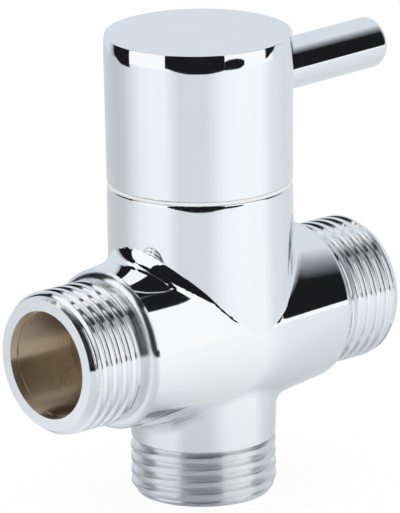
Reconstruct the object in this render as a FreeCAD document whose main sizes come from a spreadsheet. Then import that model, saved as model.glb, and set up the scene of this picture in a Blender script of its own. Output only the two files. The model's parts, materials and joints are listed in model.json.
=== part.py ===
"""Shower diverter valve: a three way brass valve with a lever cap and a turning spool.

Frame: millimetres, +Z up along the spool axis, origin at the centre of the foot port's
end face, +X along the axis of the right hand side port.
"""
import FreeCAD, Part
import math
import os
import Sketcher

DOC = FreeCAD.newDocument("ShowerDiverterValve")
SHEET = DOC.addObject("Spreadsheet::Sheet", "Sizes")

# Driving sizes, lengths in millimetres and angles in degrees
SIZES = [
    # Male G1/2 ends, the same on all three ports
    ("thread_diameter", "20.955"),
    ("side_thread_length", "10.4"),
    ("foot_thread_length", "7.3"),
    ("lead_length", "1.35"),
    ("rim_inset", "0.9"),
    ("rim_width", "1.68"),
    ("relief_width", "0.8"),
    ("relief_inset", "1.15"),
    ("mouth_step", "0.3"),
    ("mouth_depth", "1.3"),
    ("bore_depth", "11.0"),
    # Forged outside of the body
    ("port_height", "24.7"),
    ("port_reach", "29.6"),
    ("shoulder_land", "1.07"),
    ("shoulder_edge", "0.5"),
    ("barrel_diameter", "26.8"),
    ("barrel_rise", "21.4"),
    ("barrel_brow", "1.6"),
    ("barrel_brow_inset", "0.09"),
    ("barrel_edge", "0.25"),
    ("cross_swell", "0.09"),
    ("ridge_radius", "36"),
    ("foot_pipe_inset", "0.08"),
    ("foot_draft", "0.75"),
    ("junction_radius", "2.2"),
    # Spool chamber and the passages into it
    ("chamber_drop", "9.6"),
    ("outlet_diameter", "8.4"),
    ("inlet_diameter", "8.8"),
    ("running_clearance", "0.06"),
    ("axial_play", "0.05"),
    ("seat_gap", "0.02"),
    ("ring_slack", "0.03"),
    # Seam ring and bonnet nut, stepped inwards from the barrel's wall
    ("glide_inset", "0.12"),
    ("glide_wall", "0.7"),
    ("glide_width", "1.2"),
    ("glide_lip", "0.5"),
    ("glide_depth", "0.65"),
    ("glide_land", "0.45"),
    ("flange_gap", "0.15"),
    ("flange_lip", "0.9"),
    ("flange_height", "1.3"),
    ("counterbore_depth", "1.45"),
    ("bonnet_length", "6.7"),
    ("bonnet_ring_section", "1.6"),
    ("chamber_ledge", "1"),
    ("hex_inset", "1.09"),
    ("hex_height", "3.8"),
    # Spool, stem and their small parts
    ("spool_gap", "0.3"),
    ("spool_bore_rise", "4.6"),
    ("bearing_thickness", "0.6"),
    ("spool_ring_section", "1.5"),
    ("spool_ring_land", "0.24"),
    ("seal_diameter", "10.4"),
    ("seal_wall", "1.3"),
    ("stop_inset", "2.1"),
    ("stop_diameter", "2"),
    ("stop_reach", "1.5"),
    ("stop_bearing", "90"),
    ("stop_slack", "10"),
    ("travel", "186"),
    ("washer_gap", "0.6"),
    ("washer_width", "1.3"),
    ("washer_thickness", "0.8"),
    ("stem_ring_section", "1.1"),
    ("stem_crown", "6.2"),
    ("clip_width", "1.6"),
    ("clip_thickness", "0.8"),
    ("clip_opening", "70"),
    # Handle
    ("cap_height", "21.55"),
    ("cap_flare", "0.21"),
    ("cap_brow", "2.6"),
    ("cap_brow_inset", "0.17"),
    ("cap_wall", "2"),
    ("cap_top_edge", "0.08"),
    ("cap_foot_edge", "0.12"),
    ("cap_head_room", "1"),
    ("adapter_wall", "1.8"),
    ("lever_diameter", "7.45"),
    ("lever_reach", "35.4"),
    ("lever_drop", "8.2"),
    ("lever_end", "1.1"),
    ("lever_seat", "1.1"),
    ("lever_turn", "3"),
    ("spigot_diameter", "6"),
    ("spigot_gap", "1.2"),
    ("set_screw_diameter", "4"),
    ("set_screw_sink", "2.28"),
    ("set_screw_drop", "2"),
]


class Size:
    """A length or angle with the sheet expression that gives it."""

    def __init__(self, value, text):
        self.value = value
        self.text = text

    def __add__(self, other):
        other = size(other)
        return Size(self.value + other.value, f"({self.text} + {other.text})")

    def __sub__(self, other):
        other = size(other)
        return Size(self.value - other.value, f"({self.text} - {other.text})")

    def __mul__(self, factor):
        return Size(self.value * factor, f"({self.text} * {factor})")

    def __neg__(self):
        return Size(-self.value, f"(0 - {self.text})")


def size(value):
    """A plain number as a Size."""
    if isinstance(value, Size):
        return value
    return Size(float(value), str(value))


SIZE = {}
for row, (alias, text) in enumerate(SIZES, start=1):
    SHEET.set(f"A{row}", alias)
    SHEET.set(f"B{row}", text)
    SHEET.setAlias(f"B{row}", alias)
    SIZE[alias] = Size(float(text), f"Sizes.{alias}")
DOC.recompute()


def half(alias):
    """The radius that belongs to a named diameter or width."""
    return SIZE[alias] * 0.5


def bind(item, name, value):
    """Set a property and tie it to the sheet."""
    item.setExpression(name, size(value).text)


def place(item, height=None, turn=False):
    """Put a piece on the spool axis, turned with the lever where it belongs to the handle."""
    item.Placement = FreeCAD.Placement(FreeCAD.Vector(), FreeCAD.Rotation(FreeCAD.Vector(0, 0, 1), 0))
    if height is not None:
        bind(item, ".Placement.Base.z", height)
    if turn:
        angle = SIZE["lever_turn"].value
        item.Placement.Rotation = FreeCAD.Rotation(FreeCAD.Vector(0, 0, 1), angle)
        bind(item, ".Placement.Rotation.Angle", SIZE["lever_turn"])


def new_body(name):
    """An empty body that becomes one piece."""
    body = DOC.addObject("PartDesign::Body", name)
    body.Label = name
    return body


def plane_of(body, role):
    """One of the body's own origin planes."""
    return [item for item in body.Origin.OriginFeatures if item.Role == role][0]


def new_sketch(body, name, role, lift=None, out=None, swing=None):
    """A sketch on an origin plane, shifted along its own y (lift), its normal (out) or swung about y."""
    sketch = body.newObject("Sketcher::SketchObject", name)
    sketch.AttachmentSupport = (plane_of(body, role), [""])
    sketch.MapMode = "FlatFace"
    if lift is not None:
        bind(sketch, ".AttachmentOffset.Base.y", lift)
    if out is not None:
        bind(sketch, ".AttachmentOffset.Base.z", out)
    if swing is not None:
        turn = FreeCAD.Rotation(FreeCAD.Vector(0, 1, 0), swing.value)
        sketch.AttachmentOffset = FreeCAD.Placement(FreeCAD.Vector(), turn)
        bind(sketch, ".AttachmentOffset.Rotation.Angle", swing)
    return sketch


def hold(sketch, index, point, axis, value):
    """Fix one coordinate of a sketch point to a size."""
    value = size(value)
    if value.value == 0:
        sketch.addConstraint(Sketcher.Constraint("PointOnObject", index, point, -2 if axis == "X" else -1))
        return
    rule = sketch.addConstraint(Sketcher.Constraint("Distance" + axis, -1, 1, index, point, value.value))
    if "Sizes" in value.text:
        sketch.setExpression(f"Constraints[{rule}]", value.text)


def crest(sketch, top, radius, left, right):
    """An arc that crests on the sketch's y axis, between the inner ends of two lines that touch it."""
    centre = top - radius
    half_span = sketch.Geometry[right].StartPoint.x
    lean = math.asin(half_span / radius.value)
    whole = Part.Circle(FreeCAD.Vector(0, centre.value, 0), FreeCAD.Vector(0, 0, 1), radius.value)
    arc = sketch.addGeometry(Part.ArcOfCircle(whole, math.pi / 2 - lean, math.pi / 2 + lean), False)
    hold(sketch, arc, 3, "X", 0)
    hold(sketch, arc, 3, "Y", centre)
    rule = sketch.addConstraint(Sketcher.Constraint("Radius", arc, radius.value))
    sketch.setExpression(f"Constraints[{rule}]", radius.text)
    sketch.addConstraint(Sketcher.Constraint("Tangent", left, 2, arc, 2))
    sketch.addConstraint(Sketcher.Constraint("Tangent", arc, 1, right, 1))


def touching(far, top, radius):
    """Where a line from a far point touches the arc that crests on the y axis."""
    centre = FreeCAD.Vector(0, top.value - radius.value, 0)
    arm = far - centre
    lean = math.atan2(arm.x, arm.y) - math.acos(radius.value / arm.Length)
    return centre + FreeCAD.Vector(math.sin(lean), math.cos(lean), 0) * radius.value


def swept(before, start, end):
    """An arc from start to end that runs on smoothly from the line before it."""
    along = (start - before).normalize()
    inward = FreeCAD.Vector(-along.y, along.x, 0)
    chord = end - start
    radius = chord.Length ** 2 / (2 * chord.dot(inward))
    turn = math.asin(chord.dot(along) / radius) / 2
    middle = start + along * (radius * math.sin(turn)) + inward * (radius * (1 - math.cos(turn)))
    return Part.Arc(start, middle, end)


def polygon(sketch, points, crown=None, brow=None):
    """A closed outline with each corner fixed by sizes.

    A crown rounds the corner on the y axis. A brow is the number of a side that bends inwards as an
    arc from the side before it.
    """
    points = [(size(x), size(y)) for x, y in points]
    first = sketch.GeometryCount
    count = len(points)
    starts = [FreeCAD.Vector(x.value, y.value, 0) for x, y in points]
    ends = starts[1:] + starts[:1]
    crowned = None
    if crown is not None:
        crowned = [number for number, (x, y) in enumerate(points) if x.value == 0 and y.value > 0][0]
        meeting = touching(ends[crowned], points[crowned][1], crown)
        starts[crowned] = meeting
        ends[crowned - 1] = FreeCAD.Vector(-meeting.x, meeting.y, 0)
    for number, (start, end) in enumerate(zip(starts, ends)):
        side = Part.LineSegment(start, end) if number != brow else swept(starts[number - 1], start, end)
        sketch.addGeometry(side, False)
    if brow is not None:
        sketch.addConstraint(Sketcher.Constraint("Tangent", first + brow - 1, 2, first + brow, 1))
    for number, (x, y) in enumerate(points):
        arriving = first + (number - 1) % count
        if number == crowned:
            crest(sketch, y, crown, arriving, first + number)
            continue
        if number != brow:
            sketch.addConstraint(Sketcher.Constraint("Coincident", arriving, 2, first + number, 1))
        hold(sketch, first + number, 1, "X", x)
        hold(sketch, first + number, 1, "Y", y)


def circle(sketch, height, radius):
    """A circle centred on the sketch's y axis."""
    height = size(height)
    shape = Part.Circle(FreeCAD.Vector(0, height.value, 0), FreeCAD.Vector(0, 0, 1), radius.value)
    index = sketch.addGeometry(shape, False)
    hold(sketch, index, 3, "X", 0)
    hold(sketch, index, 3, "Y", height)
    rule = sketch.addConstraint(Sketcher.Constraint("Radius", index, radius.value))
    sketch.setExpression(f"Constraints[{rule}]", radius.text)


def turned(body, name, outlines, axis="V_Axis", lift=None, cut=False, angle=None, swing=None, **bends):
    """A lathe feature: outlines in the XZ plane turned about the sketch's own axis."""
    sketch = new_sketch(body, name + "Profile", "XZ_Plane", lift=lift, swing=swing)
    for outline in outlines:
        polygon(sketch, outline, **bends)
    kind = "PartDesign::Groove" if cut else "PartDesign::Revolution"
    before = body.Shape.Volume if cut else 0
    feature = body.newObject(kind, name)
    feature.Profile = sketch
    feature.ReferenceAxis = (sketch, [axis])
    feature.Angle = 360
    if angle is not None:
        bind(feature, "Angle", angle)
    DOC.recompute()
    if cut and feature.Shape.Volume >= before - 1e-6:
        raise RuntimeError(name + " cuts nothing")
    return feature


def pocket(body, name, sketch, reverse, depth=None):
    """A cut straight along the sketch's normal, to a depth or right through."""
    before = body.Shape.Volume
    feature = body.newObject("PartDesign::Pocket", name)
    feature.Profile = sketch
    feature.Reversed = reverse
    if depth is None:
        feature.Type = "ThroughAll"
    else:
        bind(feature, "Length", depth)
    DOC.recompute()
    if feature.Shape.Volume >= before - 1e-6:
        raise RuntimeError(name + " cuts nothing")


def drilled(body, name, height, radius, start, backwards=False, role="YZ_Plane"):
    """A round hole square to the spool axis, from a given distance out through the wall."""
    sketch = new_sketch(body, name + "Circle", role, out=-start if backwards else start)
    circle(sketch, height, radius)
    pocket(body, name, sketch, reverse=not backwards)


def padded(body, name, sketch, length, reverse=False):
    """A block raised along the sketch's normal."""
    feature = body.newObject("PartDesign::Pad", name)
    feature.Profile = sketch
    feature.Reversed = reverse
    bind(feature, "Length", length)
    DOC.recompute()


def ring_edges(feature, radius, along, axis="z"):
    """Names of the round edges of a given radius at a given place along an axis."""
    found = []
    for number, edge in enumerate(feature.Shape.Edges, start=1):
        if not isinstance(edge.Curve, Part.Circle):
            continue
        place_on_axis = getattr(edge.Curve.Center, axis)
        if abs(edge.Curve.Radius - radius.value) < 1e-3 and abs(place_on_axis - along.value) < 1e-3:
            found.append(f"Edge{number}")
    return found


def dressed(body, kind, name, feature, edges, amount):
    """A fillet or chamfer on named edges."""
    if not edges:
        raise RuntimeError(name + " found no edge")
    dress = body.newObject("PartDesign::" + kind, name)
    dress.Base = (feature, edges)
    bind(dress, "Radius" if kind == "Fillet" else "Size", amount)
    DOC.recompute()
    return dress


def cylinder(name, radius, height, base, turn=False):
    """A round bar on the spool axis."""
    bar = DOC.addObject("Part::Cylinder", name)
    bind(bar, "Radius", radius)
    bind(bar, "Height", height)
    place(bar, base, turn)
    return bar


def ring(name, inner, outer, height, base, turn=False):
    """A flat ring on the spool axis."""
    hole = cylinder(name + "Hole", inner, height, base, turn)
    disc = cylinder(name + "Disc", outer, height, base, turn)
    piece = DOC.addObject("Part::Cut", name)
    piece.Base = disc
    piece.Tool = hole
    piece.Label = name
    return piece


def o_ring(name, floor_radius, section, height, turn=False):
    """A round section seal ring that lies on a groove floor."""
    piece = DOC.addObject("Part::Torus", name)
    bind(piece, "Radius1", floor_radius + section * 0.5)
    bind(piece, "Radius2", section * 0.5)
    place(piece, height, turn)
    piece.Label = name
    return piece


# Radii of the threaded ends
THREAD = half("thread_diameter")
RIM = THREAD - SIZE["rim_inset"]
RELIEF = THREAD - SIZE["relief_inset"]
MOUTH = RIM - SIZE["rim_width"]
BORE = MOUTH - SIZE["mouth_step"]
SHOULDER = THREAD + SIZE["shoulder_land"]
FOOT_PIPE = THREAD - SIZE["foot_pipe_inset"]
INLET = half("inlet_diameter")
OUTLET = half("outlet_diameter")

# Radii from the barrel's wall inwards to the stem
BARREL = half("barrel_diameter")
CAP = BARREL
CAP_HEAD = CAP + SIZE["cap_flare"]
CAP_RIM = CAP_HEAD - SIZE["cap_brow_inset"]
CROSS = BARREL + SIZE["cross_swell"]
BARREL_LIP = BARREL - SIZE["barrel_brow_inset"]
GLIDE_LIP = BARREL - SIZE["glide_inset"]
GLIDE_OUT = BARREL - SIZE["glide_wall"]
GLIDE_IN = GLIDE_OUT - SIZE["glide_width"]
COUNTERBORE = GLIDE_IN - SIZE["glide_land"]
FLANGE = COUNTERBORE - SIZE["flange_gap"]
BONNET = FLANGE - SIZE["flange_lip"]
CHAMBER = BONNET - SIZE["chamber_ledge"]
SPOOL = CHAMBER - SIZE["running_clearance"]
STOP = half("stop_diameter")
STOP_CIRCLE = CHAMBER - SIZE["stop_inset"]
WASHER = STOP_CIRCLE - STOP - SIZE["washer_gap"]
STEM = WASHER - SIZE["washer_width"]
STEM_HOLE = STEM + SIZE["running_clearance"]
FLAT = STEM * 0.8
ADAPTER = STEM + SIZE["adapter_wall"]
SEAL = half("seal_diameter")
SEAL_SEAT = INLET + SIZE["seal_wall"]
LEVER = half("lever_diameter")
SPIGOT = half("spigot_diameter")
SET_SCREW = half("set_screw_diameter")
GAP = SIZE["seat_gap"]
SLACK = SIZE["ring_slack"]

# Places along the side port axis
REACH = SIZE["port_reach"]
SHOULDER_AT = REACH - SIZE["side_thread_length"]
LEAD_AT = REACH - SIZE["lead_length"]
RELIEF_AT = SHOULDER_AT + SIZE["relief_width"]

# Heights along the spool axis
AXIS = SIZE["port_height"]
FLOOR = AXIS - SIZE["chamber_drop"]
SPOOL_FOOT = FLOOR + SIZE["bearing_thickness"] + SIZE["axial_play"]
BARREL_TOP = AXIS + SIZE["barrel_rise"]
FLANGE_SEAT = BARREL_TOP - SIZE["counterbore_depth"]
FLANGE_TOP = FLANGE_SEAT + SIZE["flange_height"]
BONNET_FOOT = FLANGE_SEAT - SIZE["bonnet_length"]
SPOOL_TOP = BONNET_FOOT - SIZE["spool_gap"]
HEX_TOP = FLANGE_TOP + SIZE["hex_height"]
CLIP_AT = HEX_TOP + SIZE["axial_play"]
CLIP_TOP = CLIP_AT + SIZE["clip_thickness"]
GLIDE_SEAT = BARREL_TOP - SIZE["glide_depth"]
GLIDE_TOP = BARREL_TOP + SIZE["glide_lip"]
CAP_FOOT = GLIDE_TOP + SIZE["axial_play"]
CAP_TOP = CAP_FOOT + SIZE["cap_height"]
CAVITY_TOP = CLIP_TOP + SIZE["cap_head_room"]
STEM_TOP = CAP_TOP - SIZE["stem_crown"]
LEVER_AT = CAP_TOP - SIZE["lever_drop"]
SET_SCREW_AT = LEVER_AT - SIZE["set_screw_drop"]

# Bonnet seal ring: floor of its groove and the seat around it
BONNET_RING = SIZE["bonnet_ring_section"]
BONNET_RING_FLOOR = BONNET - BONNET_RING * 0.5
BONNET_RING_SEAT = BONNET + BONNET_RING * 0.5 + SLACK
BONNET_RING_FOOT = FLANGE_SEAT - BONNET_RING - SLACK * 2


# Valve body, one forging turned and bored on three sides
body = new_body("valve_body")
cross = turned(body, "CrossPipe", [[
    (-REACH, 0),
    (-REACH, RIM),
    (-LEAD_AT, THREAD),
    (-RELIEF_AT, THREAD),
    (-RELIEF_AT, RELIEF),
    (-SHOULDER_AT, RELIEF),
    (-SHOULDER_AT, SHOULDER),
    (0, CROSS),
    (SHOULDER_AT, SHOULDER),
    (SHOULDER_AT, RELIEF),
    (RELIEF_AT, RELIEF),
    (RELIEF_AT, THREAD),
    (LEAD_AT, THREAD),
    (REACH, RIM),
    (REACH, 0),
]], axis="H_Axis", lift=AXIS, crown=SIZE["ridge_radius"])
shoulders = ring_edges(cross, SHOULDER, SHOULDER_AT, axis="x")
shoulders += ring_edges(cross, SHOULDER, -SHOULDER_AT, axis="x")
cross = dressed(body, "Fillet", "ShoulderRound", cross, shoulders, SIZE["shoulder_edge"])
turned(body, "Barrel", [[
    (0, AXIS),
    (BARREL, AXIS),
    (BARREL, BARREL_TOP - SIZE["barrel_brow"]),
    (BARREL_LIP, BARREL_TOP),
    (0, BARREL_TOP),
]], brow=2)
FOOT_THREAD = SIZE["foot_thread_length"]
foot = turned(body, "FootPipe", [[
    (0, 0),
    (RIM, 0),
    (THREAD, SIZE["lead_length"]),
    (THREAD, FOOT_THREAD - SIZE["relief_width"]),
    (RELIEF, FOOT_THREAD - SIZE["relief_width"]),
    (RELIEF, FOOT_THREAD),
    (FOOT_PIPE, FOOT_THREAD),
    (FOOT_PIPE + SIZE["foot_draft"], AXIS),
    (0, AXIS),
]])


def junction_edges(feature):
    """Names of the edges where barrel, cross pipe and foot pipe run into each other."""
    found = []
    for number, edge in enumerate(feature.Shape.Edges, start=1):
        if isinstance(edge.Curve, (Part.Circle, Part.Line)):
            continue
        middle = edge.valueAt((edge.FirstParameter + edge.LastParameter) / 2)
        normals = []
        for face in feature.Shape.ancestorsOfType(edge, Part.Face):
            u, v = face.Surface.parameter(middle)
            normals.append(face.normalAt(u, v))
        if len(normals) == 2 and normals[0].getAngle(normals[1]) > 0.08:
            found.append(f"Edge{number}")
    return found


joined = dressed(body, "Fillet", "JunctionRound", foot, junction_edges(foot), SIZE["junction_radius"])
rim_edge = ring_edges(joined, BARREL_LIP, BARREL_TOP)
dressed(body, "Fillet", "BarrelRound", joined, rim_edge, SIZE["barrel_edge"])
turned(body, "SpoolChamber", [[
    (0, 0),
    (MOUTH, 0),
    (MOUTH, SIZE["mouth_depth"]),
    (BORE, SIZE["mouth_depth"]),
    (BORE, SIZE["bore_depth"]),
    (INLET, SIZE["bore_depth"]),
    (INLET, FLOOR),
    (CHAMBER, FLOOR),
    (CHAMBER, BONNET_FOOT - GAP),
    (BONNET + GAP, BONNET_FOOT - GAP),
    (BONNET + GAP, BONNET_RING_FOOT),
    (BONNET_RING_SEAT, BONNET_RING_FOOT),
    (BONNET_RING_SEAT, FLANGE_SEAT),
    (COUNTERBORE, FLANGE_SEAT),
    (COUNTERBORE, BARREL_TOP),
    (0, BARREL_TOP),
], [
    (GLIDE_IN - SLACK, GLIDE_SEAT),
    (GLIDE_OUT + SLACK, GLIDE_SEAT),
    (GLIDE_OUT + SLACK, BARREL_TOP),
    (GLIDE_IN - SLACK, BARREL_TOP),
]], cut=True)
turned(body, "SidePorts", [[
    (-REACH, 0),
    (-REACH, MOUTH),
    (-REACH + SIZE["mouth_depth"], MOUTH),
    (-REACH + SIZE["mouth_depth"], BORE),
    (-REACH + SIZE["bore_depth"], BORE),
    (-REACH + SIZE["bore_depth"], OUTLET),
    (REACH - SIZE["bore_depth"], OUTLET),
    (REACH - SIZE["bore_depth"], BORE),
    (REACH - SIZE["mouth_depth"], BORE),
    (REACH - SIZE["mouth_depth"], MOUTH),
    (REACH, MOUTH),
    (REACH, 0),
]], axis="H_Axis", lift=AXIS, cut=True)

# Ring under the spool
bearing_ring = ring("bearing_ring", INLET, SPOOL, SIZE["bearing_thickness"], FLOOR)

# Spool and stem, turned in one piece
spool_ring = SIZE["spool_ring_section"]
spool_ring_floor = CHAMBER - SLACK - spool_ring
RING_HALF = spool_ring * 0.5 + SLACK * 2
LOWER_RING = SPOOL_FOOT + SIZE["spool_ring_land"] + RING_HALF
UPPER_RING = AXIS * 2 - LOWER_RING
stem_ring = SIZE["stem_ring_section"]
stem_ring_floor = STEM_HOLE - SLACK - stem_ring
STEM_HALF = stem_ring * 0.5 + SLACK * 2
LOWER_STEM_RING = BONNET_FOOT + (FLANGE_TOP - BONNET_FOOT) * 0.3
UPPER_STEM_RING = FLANGE_TOP + SIZE["hex_height"] * 0.4
WASHER_SEAT = BONNET_FOOT - SIZE["axial_play"] - SIZE["washer_thickness"]
CLIP_FLOOR = STEM - half("clip_width")
BORE_TOP = AXIS + SIZE["spool_bore_rise"]
body = new_body("diverter_spool")
spool = turned(body, "SpoolBar", [[
    (0, BORE_TOP),
    (INLET, BORE_TOP),
    (INLET, SPOOL_FOOT),
    (SPOOL, SPOOL_FOOT),
    (SPOOL, LOWER_RING - RING_HALF),
    (spool_ring_floor, LOWER_RING - RING_HALF),
    (spool_ring_floor, LOWER_RING + RING_HALF),
    (SPOOL, LOWER_RING + RING_HALF),
    (SPOOL, UPPER_RING - RING_HALF),
    (spool_ring_floor, UPPER_RING - RING_HALF),
    (spool_ring_floor, UPPER_RING + RING_HALF),
    (SPOOL, UPPER_RING + RING_HALF),
    (SPOOL, SPOOL_TOP),
    (WASHER + SLACK, SPOOL_TOP),
    (WASHER + SLACK, WASHER_SEAT),
    (STEM, WASHER_SEAT),
    (STEM, LOWER_STEM_RING - STEM_HALF),
    (stem_ring_floor, LOWER_STEM_RING - STEM_HALF),
    (stem_ring_floor, LOWER_STEM_RING + STEM_HALF),
    (STEM, LOWER_STEM_RING + STEM_HALF),
    (STEM, UPPER_STEM_RING - STEM_HALF),
    (stem_ring_floor, UPPER_STEM_RING - STEM_HALF),
    (stem_ring_floor, UPPER_STEM_RING + STEM_HALF),
    (STEM, UPPER_STEM_RING + STEM_HALF),
    (STEM, CLIP_AT),
    (CLIP_FLOOR, CLIP_AT),
    (CLIP_FLOOR, CLIP_TOP),
    (STEM, CLIP_TOP),
    (STEM, STEM_TOP),
    (0, STEM_TOP),
]])
drilled(body, "SpoolWindow", AXIS, INLET, size(0))
drilled(body, "SealSeat", AXIS, SEAL, SEAL_SEAT, backwards=True)
turned(body, "StopSlot", [[
    (STOP_CIRCLE - STOP - SLACK * 4, SPOOL_TOP - SIZE["stop_reach"] - SLACK * 8),
    (STOP_CIRCLE + STOP + SLACK * 4, SPOOL_TOP - SIZE["stop_reach"] - SLACK * 8),
    (STOP_CIRCLE + STOP + SLACK * 4, SPOOL_TOP),
    (STOP_CIRCLE - STOP - SLACK * 4, SPOOL_TOP),
]], cut=True, angle=SIZE["travel"] + SIZE["stop_slack"] * 2,
    swing=SIZE["stop_bearing"] - SIZE["lever_turn"] - SIZE["stop_slack"])
flats = new_sketch(body, "StemFlats", "XY_Plane", out=CAVITY_TOP)
for side in (1, -1):
    polygon(flats, [
        (-STEM * 1.2, FLAT * side),
        (STEM * 1.2, FLAT * side),
        (STEM * 1.2, STEM * 1.2 * side),
        (-STEM * 1.2, STEM * 1.2 * side),
    ])
pocket(body, "StemFlatCut", flats, reverse=True)
place(body, turn=True)

o_ring("spool_oring_lower", spool_ring_floor, spool_ring, LOWER_RING, turn=True)
o_ring("spool_oring_upper", spool_ring_floor, spool_ring, UPPER_RING, turn=True)
o_ring("stem_oring_lower", stem_ring_floor, stem_ring, LOWER_STEM_RING, turn=True)
o_ring("stem_oring_upper", stem_ring_floor, stem_ring, UPPER_STEM_RING, turn=True)

# Rubber saddle that closes the port opposite the window
body = new_body("seal_button")
outline = new_sketch(body, "SealRound", "YZ_Plane", lift=AXIS, out=-(SEAL_SEAT + GAP))
circle(outline, 0, SEAL - GAP)
padded(body, "SealPad", outline, CHAMBER, reverse=True)
trim = SEAL * 2
turned(body, "SealSaddle", [[
    (CHAMBER - SLACK * 2, AXIS - trim),
    (CHAMBER * 3, AXIS - trim),
    (CHAMBER * 3, AXIS + trim),
    (CHAMBER - SLACK * 2, AXIS + trim),
]], cut=True)
place(body, turn=True)

# Washer between the spool and the bonnet nut
ring("thrust_washer", STEM + SLACK * 3, WASHER, SIZE["washer_thickness"], WASHER_SEAT + SIZE["axial_play"])

# Bonnet nut with its hex head, stem hole, seal groove and stop pin hole
body = new_body("bonnet_nut")
turned(body, "BonnetBar", [[
    (STEM_HOLE, BONNET_FOOT),
    (BONNET, BONNET_FOOT),
    (BONNET, BONNET_RING_FOOT),
    (BONNET_RING_FLOOR, BONNET_RING_FOOT),
    (BONNET_RING_FLOOR, FLANGE_SEAT),
    (FLANGE, FLANGE_SEAT),
    (FLANGE, FLANGE_TOP),
    (STEM_HOLE, FLANGE_TOP),
]])
hexagon = new_sketch(body, "HexOutline", "XY_Plane", out=FLANGE_TOP)
corner = FLANGE - SIZE["hex_inset"]
across = corner * 0.8660254
polygon(hexagon, [
    (corner, 0),
    (corner * 0.5, across),
    (-corner * 0.5, across),
    (-corner, 0),
    (-corner * 0.5, -across),
    (corner * 0.5, -across),
])
circle(hexagon, 0, STEM_HOLE)
padded(body, "HexHead", hexagon, SIZE["hex_height"])
pin_hole = new_sketch(body, "PinHole", "XY_Plane", out=BONNET_FOOT)
circle(pin_hole, STOP_CIRCLE, STOP + GAP)
pocket(body, "PinHoleCut", pin_hole, reverse=True, depth=SIZE["stop_reach"] * 2)

o_ring("bonnet_oring", BONNET_RING_FLOOR, BONNET_RING, FLANGE_SEAT - BONNET_RING * 0.5 - SLACK)

# Stop pin, pressed into the bonnet nut above the arc slot
stop_pin = DOC.addObject("Part::Cylinder", "stop_pin")
stop_pin.Label = "stop_pin"
bind(stop_pin, "Radius", STOP)
bind(stop_pin, "Height", SIZE["stop_reach"] * 3 + SIZE["spool_gap"] - GAP)
place(stop_pin, SPOOL_TOP - SIZE["stop_reach"])
bind(stop_pin, ".Placement.Base.y", STOP_CIRCLE)

# Snap ring above the bonnet nut
body = new_body("spindle_circlip")
turned(body, "ClipRing", [[
    (CLIP_FLOOR + GAP, CLIP_AT + GAP),
    (STEM + SIZE["clip_width"], CLIP_AT + GAP),
    (STEM + SIZE["clip_width"], CLIP_TOP - GAP),
    (CLIP_FLOOR + GAP, CLIP_TOP - GAP),
]], angle=size(360) - SIZE["clip_opening"])
place(body, turn=True)

# Ring that the cap turns on, with a foot in the barrel's groove and a lip that shows in the seam
body = new_body("glide_ring")
turned(body, "GlideBar", [[
    (GLIDE_IN, GLIDE_SEAT),
    (GLIDE_OUT, GLIDE_SEAT),
    (GLIDE_OUT, BARREL_TOP),
    (GLIDE_LIP, BARREL_TOP),
    (GLIDE_LIP, GLIDE_TOP),
    (GLIDE_IN, GLIDE_TOP),
]])

# Handle cap, hollow below, with a socket for the stem and two side holes
SOCKET_TOP = STEM_TOP + SLACK * 10
body = new_body("handle_cap")
cap = turned(body, "CapBar", [[
    (CAP - SIZE["cap_wall"], CAP_FOOT),
    (CAP, CAP_FOOT),
    (CAP_HEAD, CAP_TOP - SIZE["cap_brow"]),
    (CAP_RIM, CAP_TOP),
    (0, CAP_TOP),
    (0, SOCKET_TOP),
    (ADAPTER + GAP, SOCKET_TOP),
    (ADAPTER + GAP, CAVITY_TOP),
    (CAP - SIZE["cap_wall"], CAVITY_TOP),
]], brow=2)
cap = dressed(body, "Fillet", "CapTopRound", cap, ring_edges(cap, CAP_RIM, CAP_TOP), SIZE["cap_top_edge"])
cap = dressed(body, "Fillet", "CapFootRound", cap, ring_edges(cap, CAP, CAP_FOOT), SIZE["cap_foot_edge"])
LEVER_ROOT = CAP - SIZE["lever_seat"]
SPIGOT_AT = ADAPTER + SIZE["spigot_gap"]
drilled(body, "LeverSeat", LEVER_AT, LEVER + GAP, LEVER_ROOT - GAP)
drilled(body, "LeverHole", LEVER_AT, SPIGOT + GAP, SPIGOT_AT - GAP)
drilled(body, "SetScrewHole", SET_SCREW_AT, SET_SCREW + GAP, size(0), backwards=True, role="XZ_Plane")
place(body, turn=True)

# Plastic bush in the cap's socket, with a flatted hole and a set screw hole
body = new_body("spline_adapter")
bush = new_sketch(body, "BushOutline", "XY_Plane", out=CAVITY_TOP + GAP)
circle(bush, 0, ADAPTER)
padded(body, "BushPad", bush, STEM_TOP - CAVITY_TOP)
slot = new_sketch(body, "BushSlot", "XY_Plane", out=CAVITY_TOP + GAP)
polygon(slot, [
    (-STEM - GAP, -FLAT - GAP),
    (STEM + GAP, -FLAT - GAP),
    (STEM + GAP, FLAT + GAP),
    (-STEM - GAP, FLAT + GAP),
])
pocket(body, "BushSlotCut", slot, reverse=True)
drilled(body, "BushHole", SET_SCREW_AT, SET_SCREW + GAP, size(0), backwards=True, role="XZ_Plane")
place(body, turn=True)

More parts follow.
